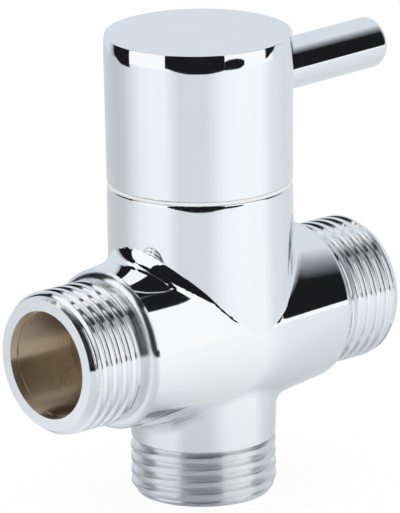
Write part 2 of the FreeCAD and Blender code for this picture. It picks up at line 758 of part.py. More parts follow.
# Grub screw at the back of the cap, its tip on the stem's flat
body = new_body("handle_set_screw")
TIP = FLAT + GAP
screw_length = CAP - SIZE["set_screw_sink"] - TIP
socket = SET_SCREW * 0.55
screw = turned(body, "ScrewBar", [[
    (0, 0),
    (SET_SCREW * 0.6, 0),
    (SET_SCREW, SET_SCREW * 0.4),
    (SET_SCREW, screw_length),
    (0, screw_length),
]])
key = new_sketch(body, "KeySocket", "XY_Plane", out=screw_length)
flat_to_flat = socket * 0.8660254
polygon(key, [
    (socket, 0),
    (socket * 0.5, flat_to_flat),
    (-socket * 0.5, flat_to_flat),
    (-socket, 0),
    (-socket * 0.5, -flat_to_flat),
    (socket * 0.5, -flat_to_flat),
])
pocket(body, "KeySocketCut", key, reverse=False, depth=SET_SCREW)
lean = FreeCAD.Rotation(FreeCAD.Vector(1, 0, 0), -90)
swing = FreeCAD.Rotation(FreeCAD.Vector(0, 0, 1), SIZE["lever_turn"].value)
body.Placement = FreeCAD.Placement(FreeCAD.Vector(), swing.multiply(lean))
bind(body, ".Placement.Base.x", Size(0, f"(0 - sin(Sizes.lever_turn * 1 deg) * {TIP.text})"))
bind(body, ".Placement.Base.y", Size(0, f"(cos(Sizes.lever_turn * 1 deg) * {TIP.text})"))
bind(body, ".Placement.Base.z", SET_SCREW_AT)

# Lever rod with its threaded spigot
body = new_body("lever_rod")
rod = turned(body, "RodBar", [[
    (SPIGOT_AT, 0),
    (SPIGOT_AT, SPIGOT),
    (LEVER_ROOT, SPIGOT),
    (LEVER_ROOT, LEVER),
    (SIZE["lever_reach"], LEVER),
    (SIZE["lever_reach"], 0),
]], axis="H_Axis")
end_edge = ring_edges(rod, LEVER, SIZE["lever_reach"], axis="x")
dressed(body, "Fillet", "RodEndRound", rod, end_edge, SIZE["lever_end"])
place(body, LEVER_AT, turn=True)

DOC.recompute()

# Every object is sound before anything is written
PIECES = [
    "valve_body", "handle_cap", "lever_rod", "handle_set_screw", "spline_adapter", "glide_ring",
    "bonnet_nut", "bonnet_oring", "stop_pin", "thrust_washer", "bearing_ring", "diverter_spool",
    "spool_oring_upper", "spool_oring_lower", "stem_oring_upper", "stem_oring_lower",
    "spindle_circlip", "seal_button",
]
for item in DOC.Objects:
    if "Invalid" in item.State or "Error" in item.State:
        raise RuntimeError(f"{item.Name} did not build: {item.State}")
for name in PIECES:
    shape = DOC.getObject(name).Shape
    if shape.isNull() or not shape.isValid() or len(shape.Solids) != 1:
        raise RuntimeError(f"{name} is not one sound solid")

os.makedirs("parts", exist_ok=True)
for name in PIECES:
    piece = DOC.getObject(name)
    piece.Shape.exportStep(f"parts/{piece.Label}.step")
    print(name, round(piece.Shape.Volume, 2))
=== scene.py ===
"""Looks of the shower diverter valve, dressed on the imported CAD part.

Blender works in metres in the CAD frame. Named lengths below are in millimetres, and MM turns them
into metres.
"""
import bpy
import json
import math
import numpy as np
from collections import namedtuple
from mathutils import Matrix, Vector

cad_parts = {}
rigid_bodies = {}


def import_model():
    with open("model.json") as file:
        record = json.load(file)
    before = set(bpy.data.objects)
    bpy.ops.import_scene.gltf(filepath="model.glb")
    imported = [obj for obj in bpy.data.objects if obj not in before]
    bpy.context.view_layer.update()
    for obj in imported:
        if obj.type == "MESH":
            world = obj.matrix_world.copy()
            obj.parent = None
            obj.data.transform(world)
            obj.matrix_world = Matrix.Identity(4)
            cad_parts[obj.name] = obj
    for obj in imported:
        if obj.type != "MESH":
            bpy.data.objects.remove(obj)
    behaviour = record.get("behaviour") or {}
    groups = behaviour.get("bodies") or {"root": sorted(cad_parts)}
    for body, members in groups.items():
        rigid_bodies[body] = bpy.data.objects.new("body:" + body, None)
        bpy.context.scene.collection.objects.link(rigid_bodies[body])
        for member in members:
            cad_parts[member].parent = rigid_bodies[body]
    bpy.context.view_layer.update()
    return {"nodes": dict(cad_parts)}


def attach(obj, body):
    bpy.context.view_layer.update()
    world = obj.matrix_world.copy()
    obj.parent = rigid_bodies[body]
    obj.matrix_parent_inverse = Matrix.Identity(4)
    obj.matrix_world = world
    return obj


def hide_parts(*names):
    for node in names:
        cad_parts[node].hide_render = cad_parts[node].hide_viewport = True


for item in list(bpy.data.objects):
    bpy.data.objects.remove(item, do_unlink=True)
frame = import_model()

MM = 0.001
NODES = frame["nodes"]
WHITE = (1, 1, 1, 1)

# Tolerances: points on a plane, on a ring or on the pipe's cone, and points that fall together
ON_PLANE = 1e-3
ON_RING = 2e-3
ON_CONE = 0.02
SAME_PLACE = 1e-6
LEAST_LENGTH = 1e-12
WELD_DIGITS = 5

# Threaded ends: a pipe thread with flat crests, its edges and roots rounded by rolling and plating
THREAD_RADIUS = 10.4775
THREAD_PITCH = 1.814
HALF_PITCH = THREAD_PITCH / 2
FLANK_ANGLE = math.radians(27.5)
CREST_FLAT = 0.26
CREST_ROUND = 0.22
ROOT_ROUND = 0.27
CREST_HALF = CREST_ROUND * math.cos(FLANK_ANGLE)
ROOT_HALF = ROOT_ROUND * math.cos(FLANK_ANGLE)
CREST_DROP = CREST_ROUND * (1 - math.sin(FLANK_ANGLE))
FLANK_DROP = (HALF_PITCH - CREST_FLAT - CREST_HALF - ROOT_HALF) / math.tan(FLANK_ANGLE)
THREAD_DEPTH = CREST_DROP + FLANK_DROP + ROOT_ROUND * (1 - math.sin(FLANK_ANGLE))
RIM_RADIUS = THREAD_RADIUS - 0.9
RELIEF_RADIUS = THREAD_RADIUS - 1.15
LEAD_LENGTH = 1.35
JOIN_STEP = 0.02

# Fineness of the thread's mesh
THREAD_COLUMNS = 160
CREST_ROWS = 6
ROOT_ROWS = 5
SPARE_TURNS = 3
SLOPE_STEP = 0.004

# Ends of the body: outer end face, outward axis, first reference direction, length of the thread in
# the CAD part, how much further it runs, its start in turns, width of its relief and slope of its run-out
Port = namedtuple("Port", "end outward across cad_length further start relief_width run_out")
PORT_HEIGHT = 24.7
PORT_REACH = 29.6
SIDE_LENGTH = 10.4
PORTS = {
    "right": Port((PORT_REACH, 0, PORT_HEIGHT), (1, 0, 0), (0, 0, 1), SIDE_LENGTH, 0, 0.3, 0.8, 1.6),
    "left": Port((-PORT_REACH, 0, PORT_HEIGHT), (-1, 0, 0), (0, 0, 1), SIDE_LENGTH, 0, 0.1, 0.8, 1.6),
    "foot": Port((0, 0, 0), (0, 0, -1), (1, 0, 0), 7.3, 1.1, 0.67, 0.12, 5.0),
}
SHOULDER_ZONE = 0.7

# Shoulders of the side ports: a wide rounding takes the place of the CAD part's small edge rounding
SLOPED_PORTS = ("left", "right")
EDGE_ROUND = 0.5
EDGE_RADIUS = 11.1
EDGE_START = 0.01
SLOPE_ROUND = 1.35
SLOPE_FOOT = math.radians(82)
SLOPE_HEAD = math.radians(9)
SLOPE_LENGTH = SLOPE_ROUND * (math.sin(SLOPE_FOOT) - math.sin(SLOPE_HEAD))
PIPE_DRAFT = 0.114
PIPE_ROOM = 2.8

# Bare inside of the body: radius of the bores, and radius and foot of the bonnet's seat
BORE_SKIN = 9.2
BONNET_SKIN = 11.9
BONNET_FROM = 37

# Material numbers on the body
PLATED = 0
SIDE_BORE = 1
CHAMBER = 2
SIDE_THREAD = 3
FOOT_THREAD = 4
TURNED_SHOULDER = 5
THREAD_LOOKS = {"right": SIDE_THREAD, "left": SIDE_THREAD, "foot": FOOT_THREAD}

# View, fitted to the photograph: focal length and offsets in pixels of a 400 x 513 image
IMAGE_LONG_SIDE = 513
FOCAL_PIXELS = 8894
OFFSET_RIGHT_PIXELS = 0.81
OFFSET_DOWN_PIXELS = -8.04
CAMERA_DISTANCE = 1281
CAMERA_TARGET = Vector((0, 0, 36))
CAMERA_AZIMUTH = math.radians(-41.34)
CAMERA_ELEVATION = math.radians(16.29)
CAMERA_ROLL = -0.0133
CAMERA_REACH = 10000
SENSOR = 36

# Studio: a white table, dark screens and a pale backdrop. The screens, the ceiling and the backdrop
# are seen only in metal: painted reflections of a dark room and a pale back. A screen has its distance,
# whether it is straight or bends round the table, how softly each end fades, and its foot and head by angle
TABLE_RADIUS = 300
SCREENS = {
    "screen_front": (260, True, (0, 0), [(-40, 0, 640), (31, 0, 640)]),
    "screen_low": (298, False, (0, 0), [
        (31, 0, 38), (33, 0, 42), (36, 0, 47), (46, 0, 46), (52, 2, 41), (56, 12, 30)]),
    "screen_left": (240, False, (4, 0.5), [
        (-124, 30, 420), (-119, 17, 420), (-112, 11, 420), (-105, 7, 420), (-89.5, 6, 420)]),
    "screen_right": (299, False, (2.5, 30), [
        (85.5, 14, 720), (90, 14, 720), (96, 24, 720), (102, 30, 720), (132, 60, 720)]),
    "screen_high": (298, False, (1, 0), [(77.5, 300, 720), (90, 300, 720)]),
}
CEILING_HEIGHT = 600
CEILING_RADIUS = 343
CEILING_SWEEP = (-95, 85)
BACKDROP = (470, False, (0, 25), [(100, -60, 560), (242, -60, 560)])
PANEL_STEPS = 64
DISC_STEPS = 128
PAINTED_DARK_COLOUR = (0.012, 0.012, 0.014)
PAPER_COLOUR = (0.70, 0.75, 0.82)
# Painted shade of the backdrop's glow where its cover fades
PAPER_PAINTED_SHADE = (0.38, 0.40, 0.44)
STAGE_ROUGHNESS = 0.9
MOTTLE_PER_MM = 0.02
MOTTLE_DARK = 0.97

# Light on the table as metal shows it, by angle from the camera: three soft pools and the dim between
TABLE_TONES = [
    (-180, 0.70), (-118, 0.55), (-102, 0.60), (-75, 0.88), (-58, 0.93), (-41, 0.92), (-24, 0.71), (8, 0.72),
    (30, 0.94), (47, 1.0), (80, 0.99), (98, 0.80), (125, 0.72), (180, 0.74),
]
TABLE_TINT = (0.955, 1.0, 1.045)
TABLE_PAINT = (0.9, 0.9, 0.9, 1)
TABLE_GLOW = 0.94
TABLE_SHADE = 0.95


def thread_length(port):
    """Length of a port's thread, from the end face to the shoulder."""
    return port.cad_length + port.further


def thread_drop(offset):
    """How far the thread lies under its crest, at a distance along the axis from the crest's middle."""
    offset = np.abs((offset + HALF_PITCH) % THREAD_PITCH - HALF_PITCH)
    past_flat = np.maximum(offset - CREST_FLAT, 0)
    crest = CREST_ROUND - np.sqrt(np.maximum(CREST_ROUND ** 2 - past_flat ** 2, 0))
    from_root = HALF_PITCH - offset
    root = THREAD_DEPTH - ROOT_ROUND + np.sqrt(np.maximum(ROOT_ROUND ** 2 - from_root ** 2, 0))
    flank = CREST_DROP + (past_flat - CREST_HALF) / math.tan(FLANK_ANGLE)
    return np.where(past_flat < CREST_HALF, crest, np.where(from_root < ROOT_HALF, root, flank))


def thread_radius(depth, turn, port):
    """Radius of a threaded end at a depth behind its rim and an angle round it."""
    relief_at = thread_length(port) - port.relief_width
    radius = THREAD_RADIUS - thread_drop(depth + THREAD_PITCH * (turn / (2 * math.pi) + port.start))
    radius = np.minimum(radius, RIM_RADIUS + (THREAD_RADIUS - RIM_RADIUS) * depth / LEAD_LENGTH)
    return np.minimum(radius, RELIEF_RADIUS + np.maximum(relief_at - depth, 0) * port.run_out)


def thread_surface(port):
    """A threaded end as depths, radii, angles, slopes along and round the axis, and faces along the helix."""
    length = thread_length(port)
    side = np.concatenate([
        [0],
        CREST_FLAT + np.linspace(0, CREST_HALF, CREST_ROWS),
        np.linspace(HALF_PITCH - ROOT_HALF, HALF_PITCH, ROOT_ROWS)[:-1],
    ])
    samples = np.sort(np.concatenate([side, THREAD_PITCH - side[:0:-1], [HALF_PITCH]]))
    turns = math.ceil(length / THREAD_PITCH) + SPARE_TURNS
    rows = np.concatenate([samples + THREAD_PITCH * (number - 1) for number in range(turns)])
    columns = np.arange(THREAD_COLUMNS) * 2 * math.pi / THREAD_COLUMNS
    depth = rows[None, :] - THREAD_PITCH * (columns[:, None] / (2 * math.pi) + port.start % 1)
    depth = np.clip(depth, JOIN_STEP, length - JOIN_STEP)
    angle = np.broadcast_to(columns[:, None], depth.shape)
    radius = thread_radius(depth, angle, port)
    before = thread_radius(depth - SLOPE_STEP, angle, port)
    after = thread_radius(depth + SLOPE_STEP, angle, port)
    slope_depth = (after - before) / (2 * SLOPE_STEP)
    before = thread_radius(depth, angle - SLOPE_STEP, port)
    after = thread_radius(depth, angle + SLOPE_STEP, port)
    slope_turn = (after - before) / (2 * SLOPE_STEP * radius)
    count = len(rows)
    faces = []
    for column in range(THREAD_COLUMNS):
        following = (column + 1) % THREAD_COLUMNS
        shift = len(samples) if following == 0 else 0
        for row in range(shift, count - 1):
            here = column * count + row
            there = following * count + row - shift
            faces.append((here, here + 1, there + 1, there))
    return depth.ravel(), radius.ravel(), angle.ravel(), slope_depth.ravel(), slope_turn.ravel(), faces


def port_axes(port):
    """End point, outward axis and two directions across it for a port."""
    outward = np.array(port.outward, float)
    across = np.array(port.across, float)
    return np.array(port.end, float), outward, across, np.cross(outward, across)


def closed_ring(ring, angles):
    """Points of a ring and their angles in order round the axis, with the first again at the end."""
    order = np.argsort(angles)
    turn = np.append(angles[order], angles[order[0]] + 2 * math.pi)
    return [ring[n] for n in order] + [ring[order[0]]], turn


def zipped(ring_a, angle_a, ring_b, angle_b):
    """Triangles between two closed rings of points round one axis, each given with its angles."""
    loop_a, turn_a = closed_ring(ring_a, angle_a)
    loop_b, turn_b = closed_ring(ring_b, angle_b)
    last_a = len(loop_a) - 1
    last_b = len(loop_b) - 1
    triangles = []
    a = b = 0
    while a < last_a or b < last_b:
        if a < last_a and (b == last_b or turn_a[a + 1] <= turn_b[b + 1]):
            triangles.append((loop_a[a], loop_a[a + 1], loop_b[b]))
            a += 1
        else:
            triangles.append((loop_a[a], loop_b[b + 1], loop_b[b]))
            b += 1
    return triangles


def cad_surface(node):
    """Welded vertices in millimetres, triangles and corner normals of a CAD node's mesh."""
    mesh = NODES[node].data
    mesh.calc_loop_triangles()
    points = np.empty(len(mesh.vertices) * 3)
    mesh.vertices.foreach_get("co", points)
    points = points.reshape(-1, 3) / MM
    corners = np.array([triangle.vertices for triangle in mesh.loop_triangles])
    loops = np.array([triangle.loops for triangle in mesh.loop_triangles])
    normals = np.empty(len(mesh.loops) * 3)
    mesh.corner_normals.foreach_get("vector", normals)
    normals = normals.reshape(-1, 3)[loops]
    welded, index = np.unique(np.round(points, WELD_DIGITS), axis=0, return_inverse=True)
    return welded, index.ravel()[corners], normals


def in_metres(points):
    """Points in millimetres as tuples in metres."""
    return [tuple(c * MM for c in point) for point in points]


class Skin:
    """A mesh in the making: points, faces, a normal for each corner and a material for each face."""

    def __init__(self):
        self.points = []
        self.faces = []
        self.normals = []
        self.looks = []

    def add_points(self, points):
        """Adds points and returns the number of the first."""
        first = len(self.points)
        self.points.extend(map(tuple, points))
        return first

    def add_face(self, corners, normals, look):
        """Adds a face, without the corners that fall together."""
        kept = [n for n in range(len(corners)) if corners[n] != corners[n - 1]]
        if len({corners[n] for n in kept}) < 3:
            return
        self.faces.append([corners[n] for n in kept])
        self.normals.append([normals[n] for n in kept])
        self.looks.append(look)

    def make(self, name, materials):
        """The finished object."""
        mesh = bpy.data.meshes.new(name)
        mesh.from_pydata(in_metres(self.points), [], self.faces)
        for material in materials:
            mesh.materials.append(material)
        mesh.polygons.foreach_set("material_index", self.looks)
        mesh.polygons.foreach_set("use_smooth", [True] * len(self.faces))
        mesh.normals_split_custom_set([tuple(normal) for face in self.normals for normal in face])
        obj = bpy.data.objects.new(name, mesh)
        bpy.context.scene.collection.objects.link(obj)
        return obj


def face_normal(points):
    """Unit normal of a triangle."""
    normal = np.cross(points[1] - points[0], points[2] - points[0])
    return normal / max(np.linalg.norm(normal), LEAST_LENGTH)


def body_look(centre):
    """Material number of a body face that is no thread, from its middle."""
    from_cross = math.hypot(centre[1], centre[2] - PORT_HEIGHT)
    from_spool = math.hypot(centre[0], centre[1])
    end_face = abs(centre[0]) > PORT_REACH - JOIN_STEP or centre[2] < JOIN_STEP
    if end_face:
        return PLATED
    if from_cross < BORE_SKIN and abs(centre[0]) > BORE_SKIN:
        return SIDE_BORE
    if abs(centre[0]) > PORT_REACH - SIDE_LENGTH - SLOPE_LENGTH:
        return TURNED_SHOULDER
    if from_spool < BORE_SKIN or (from_spool < BONNET_SKIN and centre[2] > BONNET_FROM):
        return CHAMBER
    return PLATED


def slope_shoulder(port, points, triangles, normals):
    """Widens the rounding of a side port's shoulder in place, and its normals with it."""
    end, outward, _, _ = port_axes(port)
    length = port.cad_length
    depth = -(points - end) @ outward
    radial = points - end + np.outer(depth, outward)
    radius = np.linalg.norm(radial, axis=1)
    radial /= np.maximum(radius, SAME_PLACE)[:, None]

    # The CAD part's rounding, and how far round it each of its points lies
    rise = radius - EDGE_RADIUS
    run = length + EDGE_ROUND - depth
    edge = (np.abs(np.hypot(rise, run) - EDGE_ROUND) < ON_RING) & (rise > -ON_PLANE) & (run > -ON_PLANE)
    turned = np.arctan2(rise, run)
    share = np.clip(turned / turned[edge].max(), 0, 1)
    tilt = SLOPE_FOOT + (SLOPE_HEAD - SLOPE_FOOT) * share
    edge_depth = depth[edge].max()
    edge_radius = radius[edge].max()

    # The pipe's points behind it, which make room
    room_end = length + PIPE_ROOM
    head_depth = length + SLOPE_LENGTH
    head_radius = edge_radius + PIPE_DRAFT * (head_depth - edge_depth)
    pipe = ~edge & (depth > edge_depth) & (depth < room_end)
    pipe &= np.abs(radius - edge_radius - PIPE_DRAFT * (depth - edge_depth)) < ON_CONE
    pushed = head_depth + (depth - edge_depth) * (room_end - head_depth) / (room_end - edge_depth)

    new_depth = length + SLOPE_ROUND * (math.sin(SLOPE_FOOT) - np.sin(tilt))
    new_depth = np.where(edge, new_depth, pushed)
    new_radius = head_radius + SLOPE_ROUND * (np.cos(tilt) - math.cos(SLOPE_HEAD))
    new_radius = np.where(edge, new_radius, radius + PIPE_DRAFT * (pushed - depth))
    moved = edge | pipe
    place = end - np.outer(new_depth, outward) + radial * new_radius[:, None]
    points[moved] = place[moved]
    slope = edge[triangles].all(axis=1) & (share[triangles] > EDGE_START).any(axis=1)
    facing = radial * np.cos(tilt)[:, None] + np.outer(np.sin(tilt), outward)
    normals[slope] = facing[triangles[slope]]


def open_port(port, points, triangles):
    """Moves a port's shoulder to its thread's length, in place.

    Returns which triangles the thread takes the place of, and the rings it joins at the rim and at
    the shoulder, each with its depth on the thread and its angles.
    """
    end, outward, across, beside = port_axes(port)
    length = thread_length(port)
    arm = points - end
    depth = -arm @ outward
    radius = np.hypot(arm @ across, arm @ beside)
    angle = np.arctan2(arm @ beside, arm @ across)
    outer = radius > RELIEF_RADIUS - ON_PLANE
    shoulder = outer & (depth > port.cad_length - ON_PLANE) & (depth < port.cad_length + SHOULDER_ZONE)
    points[shoulder] -= outward * port.further
    depth[shoulder] += port.further
    at_end = np.abs(depth) < ON_PLANE
    at_foot = np.abs(depth - length) < ON_PLANE
    inside = outer & (depth > -ON_PLANE) & (depth < length + ON_PLANE) & (radius < THREAD_RADIUS + ON_PLANE)
    flat = at_end[triangles].all(axis=1) | at_foot[triangles].all(axis=1)
    taken = inside[triangles].all(axis=1) & ~flat
    rim_ring = np.flatnonzero(at_end & (np.abs(radius - RIM_RADIUS) < ON_RING))
    foot_ring = np.flatnonzero(at_foot & (np.abs(radius - RELIEF_RADIUS) < ON_RING))
    rim_join = (rim_ring, angle[rim_ring], JOIN_STEP)
    foot_join = (foot_ring, angle[foot_ring], length - JOIN_STEP)
    return taken, (rim_join, foot_join)


def add_thread(skin, port, look, joins):
    """Adds a port's thread and the narrow strips that join it to the body."""
    end, outward, across, beside = port_axes(port)
    depth, radius, angle, slope_depth, slope_turn, faces = thread_surface(port)
    radial = np.outer(np.cos(angle), across) + np.outer(np.sin(angle), beside)
    round_way = np.outer(-np.sin(angle), across) + np.outer(np.cos(angle), beside)
    place = end - np.outer(depth, outward) + radial * radius[:, None]
    normal = radial + np.outer(slope_depth, outward) - round_way * slope_turn[:, None]
    normal /= np.linalg.norm(normal, axis=1)[:, None]
    unique, first_use, index = np.unique(
        np.round(place, WELD_DIGITS), axis=0, return_index=True, return_inverse=True)
    index = index.ravel()
    first = skin.add_points(unique)
    for face in faces:
        corners = [first + index[corner] for corner in face]
        skin.add_face(corners, [normal[corner] for corner in face], look)
    points = np.array(skin.points)
    for ring, ring_angle, at in joins:
        edge = np.flatnonzero(np.abs(depth[first_use] - at) < SAME_PLACE)
        edge_angle = np.arctan2((unique[edge] - end) @ beside, (unique[edge] - end) @ across)
        for triangle in zipped(list(ring), ring_angle, list(first + edge), edge_angle):
            flat = face_normal(points[list(triangle)])
            outside = points[list(triangle)].mean(axis=0) - end
            outside -= outward * (outside @ outward)
            if at == JOIN_STEP:
                outside += outward
            if flat @ outside < 0:
                triangle = triangle[::-1]
                flat = -flat
            skin.add_face(list(triangle), [flat] * 3, PLATED)


def body_skin(materials):
    """The valve body with real threads in place of the CAD model's plain thread envelopes."""
    points, triangles, normals = cad_surface("valve_body")
    for name in SLOPED_PORTS:
        slope_shoulder(PORTS[name], points, triangles, normals)
    dropped = np.zeros(len(triangles), bool)
    joins = {}
    for name, port in PORTS.items():
        taken, joins[name] = open_port(port, points, triangles)
        dropped |= taken
    skin = Skin()
    skin.add_points(points)
    for triangle, corner_normals in zip(triangles[~dropped], normals[~dropped]):
        look = body_look(points[triangle].mean(axis=0))
        skin.add_face(list(triangle), list(corner_normals), look)
    for name, port in PORTS.items():
        add_thread(skin, port, THREAD_LOOKS[name], joins[name])
    return skin.make("valve_body_skin", materials)


# Texture values between these two ends are spread over a finish's range
TEXTURE_LOW = 0.25
TEXTURE_HIGH = 0.75
GRAIN_DETAIL = 4.0
PLAIN_DETAIL = 2.0


def new_tree(name):
    """A node material with its shader."""
    material = bpy.data.materials.new(name)
    material.use_nodes = True
    tree = material.node_tree
    return material, tree, tree.nodes["Principled BSDF"]


def surface_place(tree):
    """Object coordinates in millimetres."""
    source = tree.nodes.new("ShaderNodeTexCoord")
    mapping = tree.nodes.new("ShaderNodeMapping")
    mapping.inputs["Scale"].default_value = [1 / MM] * 3
    tree.links.new(source.outputs["Object"], mapping.inputs["Vector"])
    return mapping.outputs["Vector"]


def noise(tree, place, per_mm, detail=PLAIN_DETAIL):
    """Noise of a given fineness."""
    node = tree.nodes.new("ShaderNodeTexNoise")
    node.inputs["Scale"].default_value = per_mm
    node.inputs["Detail"].default_value = detail
    tree.links.new(place, node.inputs["Vector"])
    return node.outputs["Fac"]


def bands(tree, place, direction, per_mm, distortion):
    """Lathe marks square to a direction."""
    node = tree.nodes.new("ShaderNodeTexWave")
    node.bands_direction = direction
    node.inputs["Scale"].default_value = per_mm
    node.inputs["Distortion"].default_value = distortion
    node.inputs["Detail"].default_value = PLAIN_DETAIL
    tree.links.new(place, node.inputs["Vector"])
    return node.outputs["Fac"]


def between(tree, value, low, high):
    """A texture value spread between two numbers."""
    node = tree.nodes.new("ShaderNodeMapRange")
    node.inputs["From Min"].default_value = TEXTURE_LOW
    node.inputs["From Max"].default_value = TEXTURE_HIGH
    node.inputs["To Min"].default_value = low
    node.inputs["To Max"].default_value = high
    tree.links.new(value, node.inputs["Value"])
    return node.outputs["Result"]


def shaded(tree, value, dark, light):
    """A texture value as a colour between two others."""
    node = tree.nodes.new("ShaderNodeValToRGB")
    low, high = node.color_ramp.elements
    low.position = TEXTURE_LOW
    low.color = (*dark, 1)
    high.position = TEXTURE_HIGH
    high.color = (*light, 1)
    tree.links.new(value, node.inputs["Fac"])
    return node.outputs["Color"]


def relief(tree, shader, height, depth_mm, strength):
    """Bump of a given depth."""
    node = tree.nodes.new("ShaderNodeBump")
    node.inputs["Distance"].default_value = depth_mm * MM
    node.inputs["Strength"].default_value = strength
    tree.links.new(height, node.inputs["Height"])
    tree.links.new(node.outputs["Normal"], shader.inputs["Normal"])


def feed(tree, value, socket):
    """Gives an input a number, or links it to an output."""
    if isinstance(value, (int, float)):
        socket.default_value = value
    else:
        tree.links.new(value, socket)


def math_node(tree, operation, *values):
    """One sum on numbers or outputs."""
    node = tree.nodes.new("ShaderNodeMath")
    node.operation = operation
    for value, socket in zip(values, node.inputs):
        feed(tree, value, socket)
    return node.outputs["Value"]


def finish_of(name, metallic, dark, light, rough, patch_per_mm, grain_per_mm, depth_mm, strength):
    """A surface with patchy colour, grain in its gloss and a fine relief."""
    material, tree, shader = new_tree(name)
    place = surface_place(tree)
    patches = noise(tree, place, patch_per_mm)
    grain = noise(tree, place, grain_per_mm, GRAIN_DETAIL)
    shader.inputs["Metallic"].default_value = metallic
    tree.links.new(shaded(tree, patches, dark, light), shader.inputs["Base Color"])
    tree.links.new(between(tree, grain, *rough), shader.inputs["Roughness"])
    relief(tree, shader, grain, depth_mm, strength)
    return material


def lathe_gloss(material, direction, share):
    """Spreads a finish's gloss along a direction, as fine lathe marks square to it do."""
    tree = material.node_tree
    shader = tree.nodes["Principled BSDF"]
    along = tree.nodes.new("ShaderNodeCombineXYZ")
    along.inputs[direction].default_value = 1.0
    tree.links.new(along.outputs["Vector"], shader.inputs["Tangent"])
    shader.inputs["Anisotropic"].default_value = share
    return material


# Chrome plate: its two tones, its texture, and the spread of the gloss on turned faces under it
CHROME_DARK = (0.92, 0.932, 0.945)
CHROME_LIGHT = (0.945, 0.955, 0.968)
CHROME_TEXTURE = {"patch_per_mm": 0.05, "grain_per_mm": 2.5, "depth_mm": 0.0006, "strength": 0.06}
THREAD_SHARE = 1.0

# Bare brass: tones of the body's and of the turned pieces' brass, marks, stains and spread of the gloss
BODY_BRASS = ((0.49, 0.40, 0.29), (0.68, 0.56, 0.42))
BAR_BRASS = ((0.66, 0.52, 0.30), (0.78, 0.63, 0.38))
TURNED_MARKS_PER_MM = 0.55
BORE_MARKS_PER_MM = 1.3
MARK_DISTORTION = 1.2
STAINS_PER_MM = 0.18
STAIN_DETAIL = 3.0
BRASS_SHARE = 0.85


def chrome(name, rough):
    """Chrome plate with a given range of roughness."""
    return finish_of(name, 1.0, CHROME_DARK, CHROME_LIGHT, rough, **CHROME_TEXTURE)


def bare_brass(name, direction, tones, marks_per_mm):
    """Stained bare brass, with its lathe marks and stains still to be used."""
    material, tree, shader = new_tree(name)
    place = surface_place(tree)
    marks = bands(tree, place, direction, marks_per_mm, MARK_DISTORTION)
    stains = noise(tree, place, STAINS_PER_MM, STAIN_DETAIL)
    shader.inputs["Metallic"].default_value = 1.0
    tree.links.new(shaded(tree, stains, *tones), shader.inputs["Base Color"])
    lathe_gloss(material, direction, BRASS_SHARE)
    return material, tree, shader, place, marks, stains


def turned_finish(name, direction, tones, rough, depth_mm, strength):
    """Bare turned brass with lathe marks square to a direction."""
    material, tree, shader, _, marks, _ = bare_brass(name, direction, tones, TURNED_MARKS_PER_MM)
    tree.links.new(between(tree, marks, *rough), shader.inputs["Roughness"])
    relief(tree, shader, marks, depth_mm, strength)
    return material


def tool_faces(tree, shader, place, marks, steepness):
    """Lathe marks in the side bores as faces that tip toward the open end, by a range of slopes."""
    parts = tree.nodes.new("ShaderNodeSeparateXYZ")
    tree.links.new(place, parts.inputs["Vector"])
    outward = math_node(tree, "SIGN", parts.outputs["X"])
    slope = math_node(tree, "MULTIPLY", outward, between(tree, marks, *steepness))
    tip = tree.nodes.new("ShaderNodeCombineXYZ")
    tree.links.new(slope, tip.inputs["X"])
    wall = tree.nodes.new("ShaderNodeNewGeometry")
    tipped = tree.nodes.new("ShaderNodeVectorMath")
    tree.links.new(wall.outputs["Normal"], tipped.inputs[0])
    tree.links.new(tip.outputs["Vector"], tipped.inputs[1])
    even = tree.nodes.new("ShaderNodeVectorMath")
    even.operation = "NORMALIZE"
    tree.links.new(tipped.outputs["Vector"], even.inputs[0])
    tree.links.new(even.outputs["Vector"], shader.inputs["Normal"])


def bore_finish(name, tones, rough, steepness):
    """Bare brass of the side bores, with lathe marks that catch the light from the open end."""
    material, tree, shader, place, marks, stains = bare_brass(name, "X", tones, BORE_MARKS_PER_MM)
    tree.links.new(between(tree, stains, *rough), shader.inputs["Roughness"])
    tool_faces(tree, shader, place, marks, steepness)
    return material


CHROME = chrome("chrome_plate", (0.025, 0.05))
THREAD_SIDE = lathe_gloss(chrome("chrome_thread", (0.12, 0.16)), "X", THREAD_SHARE)
SHOULDER = lathe_gloss(chrome("chrome_shoulder", (0.15, 0.19)), "X", THREAD_SHARE)
THREAD_FOOT = lathe_gloss(chrome("chrome_foot", (0.28, 0.33)), "Z", THREAD_SHARE)
BRASS_SIDE = bore_finish("bare_brass_bore", BODY_BRASS, rough=(0.25, 0.31), steepness=(0.36, 0.8))
BRASS_FOOT = turned_finish(
    "bare_brass_chamber", "Z", BODY_BRASS, rough=(0.48, 0.62), depth_mm=0.006, strength=0.12)
BRASS_TURNED = turned_finish("bare_brass", "Z", BAR_BRASS, rough=(0.2, 0.38), depth_mm=0.02, strength=0.25)
RUBBER = finish_of(
    "black_rubber", metallic=0.0, dark=(0.012, 0.012, 0.013), light=(0.028, 0.028, 0.03), rough=(0.5, 0.75),
    patch_per_mm=0.4, grain_per_mm=4.0, depth_mm=0.01, strength=0.3)
PLASTIC = finish_of(
    "white_plastic", metallic=0.0, dark=(0.87, 0.88, 0.88), light=(0.92, 0.93, 0.93), rough=(0.35, 0.55),
    patch_per_mm=0.3, grain_per_mm=3.0, depth_mm=0.006, strength=0.25)
STEEL = finish_of(
    "hard_steel", metallic=1.0, dark=(0.42, 0.43, 0.45), light=(0.54, 0.55, 0.57), rough=(0.2, 0.4),
    patch_per_mm=0.5, grain_per_mm=5.0, depth_mm=0.004, strength=0.25)

FINISHES = {
    "chrome_plate": CHROME,
    "bare_brass": BRASS_TURNED,
    "black_rubber": RUBBER,
    "white_plastic": PLASTIC,
    "hard_steel": STEEL,
}
for node in NODES.values():
    for slot in node.material_slots:
        slot.material = FINISHES[slot.material.name.split(".")[0]]

body = body_skin([CHROME, BRASS_SIDE, BRASS_FOOT, THREAD_SIDE, THREAD_FOOT, SHOULDER])
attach(body, "valve")
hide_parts("valve_body")


